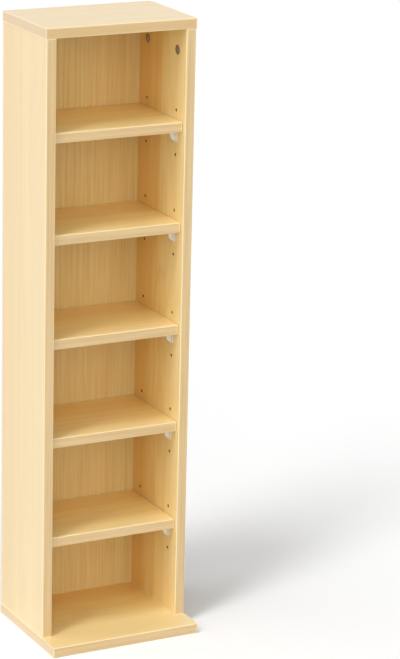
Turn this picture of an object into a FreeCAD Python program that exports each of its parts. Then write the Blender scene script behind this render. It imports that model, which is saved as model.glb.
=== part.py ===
import FreeCAD, Part
import math
import os

# Open shelf tower of foil faced particle board for disc cases.
# Millimetres, +Z up, the tower faces -Y. The origin lies on the floor, under the middle of the
# smallest upright box round the whole tower.

# Carcass
INNER_WIDTH = 212.0
SIDE_THICKNESS = 16.0
SIDE_DEPTH = 157.5
SIDE_HEIGHT = 933.0
TOP_THICKNESS = 16.0
BASE_THICKNESS = 16.0
END_OVERHANG = 1.0
BASE_PROJECTION = 45.0
BACK_THICKNESS = 2.5
BACK_INSET = 1.0
BACK_LAP = 12.0
EDGE_EASE = 1.5

# Shelves, with the height of each top surface above the floor
SHELF_TOPS = (174.5, 334.0, 490.0, 651.5, 807.0)
SHELF_THICKNESS = 16.0
SHELF_SET_BACK = 7.5
SHELF_END_GAP = 1.0
SHELF_BACK_GAP = 1.0
SHELF_EASE = 2.2

# Peg holes, cams and base screws share two upright rows, measured from the front of the sides
FRONT_ROW = 30.0
REAR_ROW = 130.0
PEG_HOLE_RADIUS = 2.5
PEG_HOLE_DEPTH = 9.5
PEG_HOLE_PITCH = 34.5
PEG_HOLES_TO_SPARE = 1

# Shelf supports
SHELF_SEAT_GAP = 0.1
PEG_CLEARANCE = 0.05
PEG_LENGTH = 8.5
PEG_CHAMFER = 0.6
PEG_DROP = 4.5
SUPPORT_WIDTH = 11.0
SUPPORT_REACH = 12.0
SUPPORT_DROP = 20.0
LEDGE_THICKNESS = 2.6
LEDGE_CORNER = 3.0
PLATE_THICKNESS = 2.0
GUSSET_THICKNESS = 6.0
GUSSET_END_INSET = 1.2
GUSSET_BULGE = 3.2
SUPPORT_EASE = 0.5

# Cam locks in the sides
CAM_POCKET_RADIUS = 7.5
CAM_POCKET_DEPTH = 12.7
CAM_CENTRE_DROP = 36.0
CAM_CLEARANCE = 0.1
CAM_SINK = 0.2
CAM_END_PLAY = 0.2
CAM_TURN = 180.0
CHAMBER_RADIUS = 3.95
CHAMBER_OFFSET = 0.7
CAM_RUN_CLEARANCE = 0.3
RECESS_WIDTH = 1.3
RECESS_SPAN = 8.0
RECESS_DEPTH = 1.8

# Bolts that hang from the top panel into the cams
BOLT_HEAD_RADIUS = 3.2
BOLT_HEAD_ABOVE = 1.9
BOLT_HEAD_BELOW = 1.6
BOLT_NECK_RADIUS = 1.8
BOLT_SHANK_RADIUS = 3.0
BOLT_COLLAR_RADIUS = 3.6
BOLT_COLLAR_LENGTH = 1.5
BOLT_BORE_RADIUS = 4.0
BOLT_THREAD_RADIUS = 2.9
BOLT_THREAD_LENGTH = 11.0
BOLT_TIP_CHAMFER = 0.8
HOLE_CLEARANCE = 0.05
BLIND_ALLOWANCE = 0.5

# Wooden dowels between the top panel and the sides
DOWEL_RADIUS = 3.95
DOWEL_IN_TOP = 10.5
DOWEL_IN_SIDE = 19.5
DOWEL_CHAMFER = 1.0

# Screws up through the base into the sides
SCREW_RADIUS = 1.9
SCREW_LENGTH = 45.0
SCREW_HEAD_RADIUS = 3.8
SCREW_HEAD_HEIGHT = 2.6
SCREW_HEAD_SINK = 0.8
SCREW_POINT_LENGTH = 5.0

# Nails that hold the back panel on
NAIL_RADIUS = 0.7
NAIL_LENGTH = 15.0
NAIL_HEAD_RADIUS = 1.5
NAIL_HEAD_HEIGHT = 1.0
NAILS_PER_SIDE = 4
NAILS_PER_END = 2
NAIL_END_MARGIN = 60.0

# Places worked out from the sizes above
OUTER_WIDTH = INNER_WIDTH + 2 * SIDE_THICKNESS
PANEL_WIDTH = OUTER_WIDTH + 2 * END_OVERHANG
OVERALL_DEPTH = BASE_PROJECTION + SIDE_DEPTH + BACK_THICKNESS
INNER_X = INNER_WIDTH / 2
MIDDLE_X = INNER_X + SIDE_THICKNESS / 2
BASE_FRONT = -OVERALL_DEPTH / 2
SIDE_FRONT = BASE_FRONT + BASE_PROJECTION
SIDE_REAR = SIDE_FRONT + SIDE_DEPTH
TOP_UNDERSIDE = BASE_THICKNESS + SIDE_HEIGHT
ROWS = {"front": SIDE_FRONT + FRONT_ROW, "rear": SIDE_FRONT + REAR_ROW}
HANDS = {"left": -1, "right": 1}
CAM_Z = TOP_UNDERSIDE - CAM_CENTRE_DROP
CAM_AXIS_DEPTH = SIDE_THICKNESS / 2
BOLT_THREAD_HOLE = BOLT_THREAD_RADIUS + HOLE_CLEARANCE
DOWEL_Y = (ROWS["front"] + ROWS["rear"]) / 2
SCREW_HOLE_RADIUS = SCREW_RADIUS + HOLE_CLEARANCE
NAIL_HOLE_RADIUS = NAIL_RADIUS + HOLE_CLEARANCE

X_AXIS = FreeCAD.Vector(1, 0, 0)
Y_AXIS = FreeCAD.Vector(0, 1, 0)
Z_AXIS = FreeCAD.Vector(0, 0, 1)
TINY = 1e-4
OVERCUT = 1.0


def vector(x, y, z):
    return FreeCAD.Vector(x, y, z)


def board(x_range, y_range, z_range):
    """A flat board between two values on each axis."""
    low = vector(x_range[0], y_range[0], z_range[0])
    return Part.makeBox(
        x_range[1] - x_range[0], y_range[1] - y_range[0], z_range[1] - z_range[0], low
    )


def rod(radius, length, start, direction):
    """A round rod from its start along a direction."""
    return Part.makeCylinder(radius, length, start, direction)


def ease_edges(shape, radius, is_eased):
    """Round each edge for which is_eased, given the edge's box, is true."""
    edges = [edge for edge in shape.Edges if is_eased(edge.BoundBox)]
    return shape.makeFillet(radius, edges)


def turned(profile, place):
    """A solid turned about the upright line through a place, from (radius, height) points."""
    points = [vector(radius, 0, height) for radius, height in profile]
    face = Part.Face(Part.makePolygon(points + points[:1]))
    solid = face.revolve(vector(0, 0, 0), Z_AXIS, 360)
    solid.translate(place)
    return solid


def faced(form, way):
    """A copy of a form, turned half round about the upright axis where way is negative."""
    placed = form.copy()
    if way < 0:
        placed.rotate(vector(0, 0, 0), Z_AXIS, 180)
    return placed


def ledge_height(shelf_top):
    """Height of the ledges that carry a shelf, just clear of its underside."""
    return shelf_top - SHELF_THICKNESS - SHELF_SEAT_GAP


def peg_hole_heights(shelf_top):
    """Heights of the peg holes for one shelf: the one in use and the spare ones round it."""
    in_use = ledge_height(shelf_top) - PEG_DROP
    steps = range(-PEG_HOLES_TO_SPARE, PEG_HOLES_TO_SPARE + 1)
    return [in_use + step * PEG_HOLE_PITCH for step in steps]


def spread(count, low, high):
    """Evenly spaced values from low to high."""
    step = (high - low) / (count - 1)
    return [low + step * index for index in range(count)]


def nail_places():
    """Where each nail enters the back panel, as (x, z)."""
    side_heights = spread(
        NAILS_PER_SIDE, BASE_THICKNESS + NAIL_END_MARGIN, TOP_UNDERSIDE - NAIL_END_MARGIN
    )
    end_places = spread(NAILS_PER_END, NAIL_END_MARGIN - INNER_X, INNER_X - NAIL_END_MARGIN)
    end_heights = (
        BASE_THICKNESS - BACK_LAP / 2,
        TOP_UNDERSIDE + BACK_LAP / 2,
    )
    in_sides = [(hand * MIDDLE_X, height) for hand in HANDS.values() for height in side_heights]
    in_ends = [(x, height) for height in end_heights for x in end_places]
    return in_sides + in_ends


def nail_holes():
    """Pilot holes for all nails, from the back panel into the boards."""
    length = NAIL_LENGTH + BLIND_ALLOWANCE
    rear = SIDE_REAR + BACK_THICKNESS
    return [
        rod(NAIL_HOLE_RADIUS, length, vector(x, rear, z), -Y_AXIS) for x, z in nail_places()
    ]


def top_panel():
    """Top board with eased long edges and blind holes for bolts and dowels."""
    top = TOP_UNDERSIDE + TOP_THICKNESS
    panel = board(
        (-PANEL_WIDTH / 2, PANEL_WIDTH / 2), (SIDE_FRONT, SIDE_REAR), (TOP_UNDERSIDE, top)
    )
    panel = ease_edges(panel, EDGE_EASE, lambda box: box.XLength > PANEL_WIDTH - TINY)
    holes = nail_holes()
    for hand in HANDS.values():
        for y in ROWS.values():
            start = vector(hand * MIDDLE_X, y, TOP_UNDERSIDE)
            holes.append(rod(BOLT_THREAD_HOLE, BOLT_THREAD_LENGTH + BLIND_ALLOWANCE, start, Z_AXIS))
        start = vector(hand * MIDDLE_X, DOWEL_Y, TOP_UNDERSIDE)
        holes.append(rod(DOWEL_RADIUS + HOLE_CLEARANCE, DOWEL_IN_TOP + BLIND_ALLOWANCE, start, Z_AXIS))
    return panel.cut(holes)


def base_panel():
    """Base board, which runs out in front of the sides, with countersunk screw holes."""
    panel = board(
        (-PANEL_WIDTH / 2, PANEL_WIDTH / 2), (BASE_FRONT, SIDE_REAR), (0, BASE_THICKNESS)
    )

    def at_front(box):
        return box.XLength > PANEL_WIDTH - TINY and box.YMax < BASE_FRONT + TINY

    panel = ease_edges(panel, EDGE_EASE, at_front)
    holes = nail_holes()
    head_top = SCREW_HEAD_SINK + SCREW_HEAD_HEIGHT
    profile = [
        (0, -OVERCUT),
        (SCREW_HEAD_RADIUS + HOLE_CLEARANCE, -OVERCUT),
        (SCREW_HEAD_RADIUS + HOLE_CLEARANCE, SCREW_HEAD_SINK),
        (SCREW_HOLE_RADIUS, head_top),
        (SCREW_HOLE_RADIUS, BASE_THICKNESS + OVERCUT),
        (0, BASE_THICKNESS + OVERCUT),
    ]
    for hand in HANDS.values():
        for y in ROWS.values():
            holes.append(turned(profile, vector(hand * MIDDLE_X, y, 0)))
    return panel.cut(holes)


def side_panel(hand):
    """Upright side with its peg holes, cam pockets, bolt bores, dowel hole and screw holes."""
    x_range = sorted((hand * INNER_X, hand * (INNER_X + SIDE_THICKNESS)))
    panel = board(x_range, (SIDE_FRONT, SIDE_REAR), (BASE_THICKNESS, TOP_UNDERSIDE))

    def at_front(box):
        return box.ZLength > SIDE_HEIGHT - TINY and box.YMax < SIDE_FRONT + TINY

    panel = ease_edges(panel, EDGE_EASE, at_front)
    outward = X_AXIS * hand
    holes = nail_holes()
    for y in ROWS.values():
        for shelf_top in SHELF_TOPS:
            for height in peg_hole_heights(shelf_top):
                start = vector(hand * INNER_X, y, height)
                holes.append(rod(PEG_HOLE_RADIUS, PEG_HOLE_DEPTH, start, outward))
        pocket_start = vector(hand * INNER_X, y, CAM_Z)
        holes.append(rod(CAM_POCKET_RADIUS, CAM_POCKET_DEPTH, pocket_start, outward))
        bore_start = vector(hand * MIDDLE_X, y, CAM_Z)
        holes.append(rod(BOLT_BORE_RADIUS, CAM_CENTRE_DROP, bore_start, Z_AXIS))
        screw_reach = SCREW_HEAD_SINK + SCREW_LENGTH - BASE_THICKNESS + BLIND_ALLOWANCE
        screw_start = vector(hand * MIDDLE_X, y, BASE_THICKNESS)
        holes.append(rod(SCREW_HOLE_RADIUS, screw_reach, screw_start, Z_AXIS))
    dowel_start = vector(hand * MIDDLE_X, DOWEL_Y, TOP_UNDERSIDE)
    holes.append(
        rod(DOWEL_RADIUS + HOLE_CLEARANCE, DOWEL_IN_SIDE + BLIND_ALLOWANCE, dowel_start, -Z_AXIS)
    )
    return panel.cut(holes)


def back_panel():
    """Thin board on the rear edges of the sides, which laps onto the top and the base."""
    half_width = OUTER_WIDTH / 2 - BACK_INSET
    rear = SIDE_REAR + BACK_THICKNESS
    panel = board(
        (-half_width, half_width),
        (SIDE_REAR, rear),
        (BASE_THICKNESS - BACK_LAP, TOP_UNDERSIDE + BACK_LAP),
    )
    holes = nail_holes()
    for x, z in nail_places():
        point = vector(x, rear - NAIL_HEAD_HEIGHT, z)
        holes.append(
            Part.makeCone(
                NAIL_HOLE_RADIUS, NAIL_HEAD_RADIUS + HOLE_CLEARANCE, NAIL_HEAD_HEIGHT, point, Y_AXIS
            )
        )
    return panel.cut(holes)


def shelf(shelf_top):
    """Loose shelf that lies on four supports, set back from the front of the sides."""
    half_width = INNER_X - SHELF_END_GAP
    front = SIDE_FRONT + SHELF_SET_BACK
    panel = board(
        (-half_width, half_width),
        (front, SIDE_REAR - SHELF_BACK_GAP),
        (shelf_top - SHELF_THICKNESS, shelf_top),
    )

    def at_front(box):
        return box.XLength > 2 * half_width - TINY and box.YMax < front + TINY

    return ease_edges(panel, SHELF_EASE, at_front)


def support_gusset():
    """Rib under the ledge of a support, with a curved lower edge."""
    top = vector(PLATE_THICKNESS / 2, 0, -LEDGE_THICKNESS / 2)
    outer_top = vector(SUPPORT_REACH - GUSSET_END_INSET, 0, -LEDGE_THICKNESS / 2)
    outer = vector(SUPPORT_REACH - GUSSET_END_INSET, 0, -LEDGE_THICKNESS)
    toe = vector(PLATE_THICKNESS, 0, -SUPPORT_DROP + GUSSET_THICKNESS / 2)
    heel = vector(PLATE_THICKNESS / 2, 0, -SUPPORT_DROP + GUSSET_THICKNESS / 2)
    chord = toe - outer
    across = vector(-chord.z, 0, chord.x).normalize()
    middle = (outer + toe) * 0.5 - across * GUSSET_BULGE
    outline = Part.Wire(
        [
            Part.LineSegment(top, outer_top).toShape(),
            Part.LineSegment(outer_top, outer).toShape(),
            Part.Arc(outer, middle, toe).toShape(),
            Part.LineSegment(toe, heel).toShape(),
            Part.LineSegment(heel, top).toShape(),
        ]
    )
    rib = Part.Face(outline).extrude(Y_AXIS * GUSSET_THICKNESS)
    rib.translate(Y_AXIS * (-GUSSET_THICKNESS / 2))
    return rib


def support_form():
    """Shelf support for the left side: peg to -X, ledge to +X, ledge top at the origin's height."""
    half = SUPPORT_WIDTH / 2
    ledge = board((0, SUPPORT_REACH), (-half, half), (-LEDGE_THICKNESS, 0))

    def outer_corner(box):
        return box.ZLength > LEDGE_THICKNESS - TINY and box.XMin > SUPPORT_REACH - TINY

    ledge = ease_edges(ledge, LEDGE_CORNER, outer_corner)
    straight = SUPPORT_DROP - half
    plate = board((0, PLATE_THICKNESS), (-half, half), (-straight, 0))
    round_end = rod(half, PLATE_THICKNESS, vector(0, 0, -straight), X_AXIS)
    peg = rod(
        PEG_HOLE_RADIUS - PEG_CLEARANCE, PEG_LENGTH, vector(-PEG_LENGTH, 0, -PEG_DROP), X_AXIS
    )
    peg = peg.makeChamfer(
        PEG_CHAMFER, [edge for edge in peg.Edges if edge.BoundBox.XMax < TINY - PEG_LENGTH]
    )
    body = ledge.fuse([plate, round_end, support_gusset()]).removeSplitter()

    def toe_edge(box):
        on_face = box.XMin > PLATE_THICKNESS - TINY and box.XMax < PLATE_THICKNESS + TINY
        return on_face and box.ZMax < TINY - straight and box.YLength > SUPPORT_WIDTH - TINY

    body = ease_edges(body, SUPPORT_EASE, toe_edge)
    return body.fuse(peg).removeSplitter()


def shelf_support(form, hand, y, shelf_top):
    """One support, plugged into its peg hole under a shelf."""
    placed = faced(form, -hand)
    placed.translate(vector(hand * INNER_X, y, ledge_height(shelf_top)))
    return placed


def cam_form():
    """Cam lock for the right side, locked: its face at x = 0, its body to +X, the bolt from +Z.

    The head of the bolt goes in through the wide entry. As the cam turns by CAM_TURN the neck of
    the bolt runs along the slot in the rim, and two lips, whose inner wall is off centre by
    CHAMBER_OFFSET, draw the head in.
    """
    radius = CAM_POCKET_RADIUS - CAM_CLEARANCE
    length = CAM_POCKET_DEPTH - CAM_SINK - CAM_END_PLAY
    axis_x = CAM_AXIS_DEPTH - CAM_SINK
    slot_half = BOLT_NECK_RADIUS + CAM_RUN_CLEARANCE
    head_half = BOLT_HEAD_RADIUS + CAM_RUN_CLEARANCE
    head_corner = math.hypot(BOLT_HEAD_RADIUS, BOLT_HEAD_ABOVE)
    beyond = radius + OVERCUT

    body = rod(radius, length, vector(0, 0, 0), X_AXIS)
    lip_chamber = rod(
        CHAMBER_RADIUS, 2 * head_half, vector(axis_x - head_half, 0, -CHAMBER_OFFSET), X_AXIS
    )
    slot_start = vector(axis_x - slot_half, 0, 0)
    head_chamber = rod(head_corner + CAM_RUN_CLEARANCE, 2 * slot_half, slot_start, X_AXIS)
    slot_outline = [
        slot_start,
        slot_start + X_AXIS * (2 * slot_half),
        slot_start + X_AXIS * (2 * slot_half) + Z_AXIS * beyond,
        slot_start + Z_AXIS * beyond,
        slot_start,
    ]
    swept_slot = Part.Face(Part.makePolygon(slot_outline)).revolve(slot_start, X_AXIS, CAM_TURN)
    neck_slot = board(
        (axis_x - slot_half, axis_x + slot_half), (-slot_half, slot_half), (0, beyond)
    )
    entry = rod(head_half, beyond, vector(axis_x, 0, 0), Z_AXIS)
    entry.rotate(vector(0, 0, 0), X_AXIS, CAM_TURN)
    recess_half = RECESS_SPAN / 2
    recess_up = board(
        (-OVERCUT, RECESS_DEPTH), (-RECESS_WIDTH / 2, RECESS_WIDTH / 2), (-recess_half, recess_half)
    )
    recess_across = board(
        (-OVERCUT, RECESS_DEPTH), (-recess_half, recess_half), (-RECESS_WIDTH / 2, RECESS_WIDTH / 2)
    )
    return body.cut(
        [lip_chamber, head_chamber, swept_slot, neck_slot, entry, recess_up, recess_across]
    )


def cam_lock(form, hand, y):
    """One cam lock in its pocket, turned to its locked place."""
    placed = faced(form, hand)
    placed.translate(vector(hand * (INNER_X + CAM_SINK), y, CAM_Z))
    return placed


def cam_bolt(hand, y):
    """Bolt screwed into the top panel, with its head inside the cam."""
    neck_top = CAM_POCKET_RADIUS + CAM_RUN_CLEARANCE
    collar_low = CAM_CENTRE_DROP - BOLT_COLLAR_LENGTH
    tip = CAM_CENTRE_DROP + BOLT_THREAD_LENGTH
    profile = [
        (0, -BOLT_HEAD_BELOW),
        (BOLT_HEAD_RADIUS, -BOLT_HEAD_BELOW),
        (BOLT_HEAD_RADIUS, BOLT_HEAD_ABOVE),
        (BOLT_NECK_RADIUS, BOLT_HEAD_ABOVE),
        (BOLT_NECK_RADIUS, neck_top),
        (BOLT_SHANK_RADIUS, neck_top),
        (BOLT_SHANK_RADIUS, collar_low),
        (BOLT_COLLAR_RADIUS, collar_low),
        (BOLT_COLLAR_RADIUS, CAM_CENTRE_DROP),
        (BOLT_THREAD_RADIUS, CAM_CENTRE_DROP),
        (BOLT_THREAD_RADIUS, tip - BOLT_TIP_CHAMFER),
        (BOLT_THREAD_RADIUS - BOLT_TIP_CHAMFER, tip),
        (0, tip),
    ]
    return turned(profile, vector(hand * MIDDLE_X, y, CAM_Z))


def dowel(hand):
    """Wooden dowel between a side and the top panel."""
    end_radius = DOWEL_RADIUS - DOWEL_CHAMFER
    profile = [
        (0, -DOWEL_IN_SIDE),
        (end_radius, -DOWEL_IN_SIDE),
        (DOWEL_RADIUS, DOWEL_CHAMFER - DOWEL_IN_SIDE),
        (DOWEL_RADIUS, DOWEL_IN_TOP - DOWEL_CHAMFER),
        (end_radius, DOWEL_IN_TOP),
        (0, DOWEL_IN_TOP),
    ]
    return turned(profile, vector(hand * MIDDLE_X, DOWEL_Y, TOP_UNDERSIDE))


def base_screws():
    """The countersunk screws through the base, two into each side."""
    profile = [
        (0, 0),
        (SCREW_HEAD_RADIUS, 0),
        (SCREW_RADIUS, SCREW_HEAD_HEIGHT),
        (SCREW_RADIUS, SCREW_LENGTH - SCREW_POINT_LENGTH),
        (0, SCREW_LENGTH),
    ]
    return Part.makeCompound(
        [
            turned(profile, vector(hand * MIDDLE_X, y, SCREW_HEAD_SINK))
            for hand in HANDS.values()
            for y in ROWS.values()
        ]
    )


def back_nails():
    """The nails of the back panel, their heads flush with its rear face."""
    rear = SIDE_REAR + BACK_THICKNESS
    nails = []
    for x, z in nail_places():
        head = Part.makeCone(
            NAIL_RADIUS,
            NAIL_HEAD_RADIUS,
            NAIL_HEAD_HEIGHT,
            vector(x, rear - NAIL_HEAD_HEIGHT, z),
            Y_AXIS,
        )
        shank_length = NAIL_LENGTH - NAIL_HEAD_HEIGHT
        shank = rod(NAIL_RADIUS, shank_length, vector(x, rear - NAIL_HEAD_HEIGHT, z), -Y_AXIS)
        nails.append(head.fuse(shank).removeSplitter())
    return Part.makeCompound(nails)


def all_pieces():
    """Every piece of the tower by its name."""
    pieces = {
        "top_panel": top_panel(),
        "base_panel": base_panel(),
        "back_panel": back_panel(),
        "base_screws": base_screws(),
        "back_nails": back_nails(),
    }
    support = support_form()
    cam = cam_form()
    for hand_name, hand in HANDS.items():
        pieces[f"{hand_name}_side"] = side_panel(hand)
        pieces[f"dowel_{hand_name}"] = dowel(hand)
        for row_name, y in ROWS.items():
            pieces[f"cam_lock_{row_name}_{hand_name}"] = cam_lock(cam, hand, y)
            pieces[f"cam_bolt_{row_name}_{hand_name}"] = cam_bolt(hand, y)
    for number, shelf_top in enumerate(SHELF_TOPS, start=1):
        pieces[f"shelf_{number}"] = shelf(shelf_top)
        for hand_name, hand in HANDS.items():
            for row_name, y in ROWS.items():
                name = f"support_{number}_{row_name}_{hand_name}"
                pieces[name] = shelf_support(support, hand, y, shelf_top)
    return pieces


def main():
    os.makedirs("parts", exist_ok=True)
    for name, piece in all_pieces().items():
        if not piece.isValid():
            raise ValueError(f"{name} is not a valid solid")
        piece.exportStep(f"parts/{name}.step")
        print(name, len(piece.Solids), round(piece.Volume, 1))


main()
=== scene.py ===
"""Looks of an open shelf tower for disc cases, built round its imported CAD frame.

Metres, +Z up, the tower faces -Y and its origin lies on the floor under its middle.
The boards, cam bolts and dowels keep their CAD meshes and get a finish. The shelf supports, cam
locks, screws and nails are modelled here in finer detail and stand in for their CAD nodes.
"""
import logging
import math
from contextlib import contextmanager
from dataclasses import dataclass, replace
from enum import Enum
from typing import Callable, Iterator, Sequence

import bmesh
import bpy
from mathutils import Matrix, Vector


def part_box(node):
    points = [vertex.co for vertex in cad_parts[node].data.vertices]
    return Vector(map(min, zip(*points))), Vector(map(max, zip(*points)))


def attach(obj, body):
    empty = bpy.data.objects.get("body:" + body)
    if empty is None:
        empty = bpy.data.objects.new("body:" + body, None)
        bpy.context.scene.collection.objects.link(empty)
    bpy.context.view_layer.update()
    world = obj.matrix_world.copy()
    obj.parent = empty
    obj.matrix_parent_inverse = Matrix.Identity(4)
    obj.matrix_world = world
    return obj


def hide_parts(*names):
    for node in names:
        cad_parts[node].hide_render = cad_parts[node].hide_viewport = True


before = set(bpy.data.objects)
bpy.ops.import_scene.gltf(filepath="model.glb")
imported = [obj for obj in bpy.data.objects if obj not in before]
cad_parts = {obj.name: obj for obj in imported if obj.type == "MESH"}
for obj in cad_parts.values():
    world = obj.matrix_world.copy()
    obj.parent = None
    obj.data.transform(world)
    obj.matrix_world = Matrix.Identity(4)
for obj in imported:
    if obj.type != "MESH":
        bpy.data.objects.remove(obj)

LOG = logging.getLogger("shelf_tower")
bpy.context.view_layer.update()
MM = 0.001
HANDS = ("left", "right")
CORNERS = tuple((row, hand) for row in ("front", "rear") for hand in HANDS)
SHELF_COUNT = 5

# Points of a mesh count as one, and places as the same, within these distances in metres
WELD = 1e-6
NEAR = 1e-5
# A face looks along an axis where its normal has more than this share of it
SQUARE_ON = 0.9

Triple = tuple[float, float, float]
Colour = Triple
Piece = bpy.types.Object
Material = bpy.types.Material
Socket = bpy.types.NodeSocket


class Grain(Enum):
    """The way the printed wood grain of a board runs."""

    ACROSS = 0
    UPRIGHT = 2


class Pick(Enum):
    """What a modelling step selects."""

    POINTS = "VERT"
    EDGES = "EDGE"
    FACES = "FACE"


# Modelling by hand


class Bench:
    """Modelling steps that the fittings share, each one an operator used as by hand."""

    # Least angles of the edges that are rounded and that stay crisp, and the steps of a rounding
    SHARP = math.radians(60.0)
    CRISP = math.radians(35.0)
    STEPS = 2

    @staticmethod
    def take(piece: Piece) -> None:
        """Select one object alone and make it the active one.

        Args:
            piece: The object to work on.
        """
        bpy.ops.object.select_all(action="DESELECT")
        piece.select_set(True)
        bpy.context.view_layer.objects.active = piece

    @classmethod
    def settle(cls, piece: Piece) -> None:
        """Put a piece's place, turn and size into its mesh."""
        cls.take(piece)
        bpy.ops.object.transform_apply(location=True, rotation=True, scale=True)

    @classmethod
    def block(cls, name: str, low: Sequence[float], high: Sequence[float]) -> Piece:
        """Start a piece from a cube between two corners.

        Args:
            name: Name of the new object.
            low: Lowest corner.
            high: Highest corner.

        Returns:
            The new block.
        """
        low, high = Vector(low), Vector(high)
        bpy.ops.mesh.primitive_cube_add(size=1.0, location=(low + high) / 2, scale=high - low)
        piece = bpy.context.object
        piece.name = name
        cls.settle(piece)
        return piece

    @classmethod
    def bar(
        cls,
        name: str,
        radius: float,
        start: Sequence[float],
        end: Sequence[float],
        sides: int = 32,
        end_radius: float | None = None,
    ) -> Piece:
        """Start a piece from a round or tapered bar between two points.

        Args:
            name: Name of the new object.
            radius: Radius at the start.
            start: Middle of the first end.
            end: Middle of the second end.
            sides: Number of sides.
            end_radius: Radius at the second end, the same as the first if left out.

        Returns:
            The new bar.
        """
        start, end = Vector(start), Vector(end)
        run = end - start
        bpy.ops.mesh.primitive_cone_add(
            vertices=sides,
            radius1=radius,
            radius2=radius if end_radius is None else end_radius,
            depth=run.length,
            location=(start + end) / 2,
            rotation=run.to_track_quat("Z", "Y").to_euler(),
        )
        piece = bpy.context.object
        piece.name = name
        cls.settle(piece)
        return piece

    @classmethod
    @contextmanager
    def editing(cls, piece: Piece, pick: Pick = Pick.FACES) -> Iterator[None]:
        """Open a piece for editing with nothing selected.

        Args:
            piece: The object to edit.
            pick: Whether points, edges or faces are worked on.
        """
        cls.take(piece)
        bpy.ops.object.mode_set(mode="EDIT")
        bpy.ops.mesh.select_mode(type=pick.value)
        bpy.ops.mesh.select_all(action="DESELECT")
        try:
            yield
        finally:
            bpy.ops.object.mode_set(mode="OBJECT")

    @staticmethod
    def select(pick: Pick, test: Callable[..., bool]) -> None:
        """Select points by place, edges by both ends or faces by middle and normal.

        Args:
            pick: What is selected in the open piece.
            test: Says whether the one with these vectors is wanted.
        """
        mesh = bmesh.from_edit_mesh(bpy.context.edit_object.data)
        if pick is Pick.POINTS:
            found = [(point, (point.co,)) for point in mesh.verts]
        elif pick is Pick.EDGES:
            found = [(edge, (edge.verts[0].co, edge.verts[1].co)) for edge in mesh.edges]
        else:
            found = [(face, (face.calc_center_median(), face.normal)) for face in mesh.faces]
        for item, vectors in found:
            item.select_set(test(*vectors))
        if pick is Pick.POINTS:
            mesh.select_flush(True)
        bmesh.update_edit_mesh(bpy.context.edit_object.data)

    @staticmethod
    def extrude(move: Sequence[float]) -> None:
        """Pull the selected faces of the open piece out along a vector."""
        bpy.ops.mesh.extrude_region_move(TRANSFORM_OT_translate={"value": move})

    @classmethod
    def combine(cls, piece: Piece, tool: Piece, operation: str = "UNION") -> None:
        """Join a second solid to a piece, or cut the piece with it, and use the solid up.

        Args:
            piece: The piece that stays.
            tool: The solid that joins or cuts it.
            operation: UNION or DIFFERENCE.
        """
        cls.take(piece)
        step = piece.modifiers.new("combine", "BOOLEAN")
        step.operation = operation
        step.solver = "EXACT"
        step.object = tool
        bpy.ops.object.modifier_apply(modifier=step.name)
        bpy.data.objects.remove(tool)

    @classmethod
    def soften(cls, piece: Piece, width: float) -> None:
        """Round a piece's sharp edges a little, as a mould leaves them.

        Args:
            piece: The piece to soften.
            width: Width of the rounding.
        """
        cls.take(piece)
        step = piece.modifiers.new("soften", "BEVEL")
        step.width = width
        step.segments = cls.STEPS
        step.limit_method = "ANGLE"
        step.angle_limit = cls.SHARP
        bpy.ops.object.modifier_apply(modifier=step.name)

    @classmethod
    def tidy(cls, piece: Piece) -> None:
        """Merge doubles, point every face outwards and shade smooth between crisp edges.

        Args:
            piece: The piece to tidy.
        """
        with cls.editing(piece):
            bpy.ops.mesh.select_all(action="SELECT")
            bpy.ops.mesh.remove_doubles(threshold=WELD)
            bpy.ops.mesh.normals_make_consistent(inside=False)
        bpy.ops.object.shade_smooth_by_angle(angle=cls.CRISP)

    @classmethod
    def copy(cls, piece: Piece, name: str, half_turn: bool, to: Vector) -> Piece:
        """Copy a finished form to one of its places.

        Args:
            piece: The form, modelled at the origin.
            name: Name of the copy.
            half_turn: Whether the copy faces the other way, turned about the upright axis.
            to: Where the form's origin goes.

        Returns:
            The copy, with a mesh of its own.
        """
        cls.take(piece)
        bpy.ops.object.duplicate(linked=False)
        placed = bpy.context.object
        placed.name = name
        placed.data.name = name
        placed.rotation_euler = (0.0, 0.0, math.pi if half_turn else 0.0)
        placed.location = to
        cls.settle(placed)
        return placed

    @classmethod
    def cad_copy(cls, node: str, name: str) -> Piece:
        """Copy a CAD node's mesh as the start of a new piece, its triangles merged.

        Args:
            node: Name of the CAD node.
            name: Name of the new piece.

        Returns:
            A copy that rides on nothing yet.
        """
        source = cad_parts[node]
        piece = bpy.data.objects.new(name, source.data.copy())
        bpy.context.scene.collection.objects.link(piece)
        piece.data.materials.clear()
        with cls.editing(piece):
            bpy.ops.mesh.select_all(action="SELECT")
            bpy.ops.mesh.remove_doubles(threshold=WELD)
        return piece

    @classmethod
    def solid_boxes(cls, node: str) -> list[tuple[Vector, Vector]]:
        """Find the box of each separate solid in a CAD node.

        Args:
            node: Name of the CAD node.

        Returns:
            The lowest and highest corner of each solid.
        """
        piece = cls.cad_copy(node, "solids")
        with cls.editing(piece):
            bpy.ops.mesh.separate(type="LOOSE")
        boxes = []
        for part in list(bpy.context.selected_objects):
            points = [point.co for point in part.data.vertices]
            low = Vector(min(p[axis] for p in points) for axis in range(3))
            high = Vector(max(p[axis] for p in points) for axis in range(3))
            boxes.append((low, high))
            bpy.data.objects.remove(part)
        return sorted(boxes, key=lambda box: (round(box[0].x, 4), round(box[0].y, 4), box[0].z))

    @staticmethod
    def dress(node: str, finish: Material) -> None:
        """Give a CAD node one material and leave its mesh alone.

        Args:
            node: Name of the CAD node.
            finish: Its material.
        """
        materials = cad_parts[node].data.materials
        materials.clear()
        materials.append(finish)
        LOG.info("dressed %s", node)


# Finishes


class Blend(Enum):
    """What a mix node blends, with the places of its two values and of its result."""

    VECTOR = (4, 5, 1)
    RGBA = (6, 7, 2)


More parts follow.
